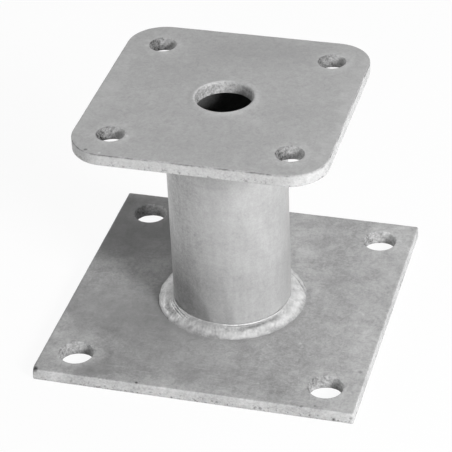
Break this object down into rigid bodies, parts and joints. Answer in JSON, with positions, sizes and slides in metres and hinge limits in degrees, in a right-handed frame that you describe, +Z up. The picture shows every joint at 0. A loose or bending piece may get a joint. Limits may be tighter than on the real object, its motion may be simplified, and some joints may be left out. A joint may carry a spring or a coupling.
{
  "type": "post base",
  "caption": "Galvanised steel post base: a square base plate with anchor holes, a round tube riser and a smaller round-cornered top plate with screw holes.",
  "frame": {"origin": "middle of the base plate's underside", "axes": "+Z up along the tube, X and Y along the sides of the square plates"},
  "size_m": [0.13, 0.13, 0.1],
  "materials": {
    "plate_zinc": "hot-dip galvanised plate, matt cloudy grey",
    "tube_zinc": "hot-dip galvanised pipe, matt grey",
    "weld_zinc": "hot-dip galvanised weld, brighter rippled grey"
  },
  "bodies": {
    "root": {"base_plate": "plate_zinc", "top_plate": "plate_zinc", "riser_tube": "tube_zinc", "base_weld": "weld_zinc", "top_weld": "weld_zinc"}
  },
  "joints": []
}
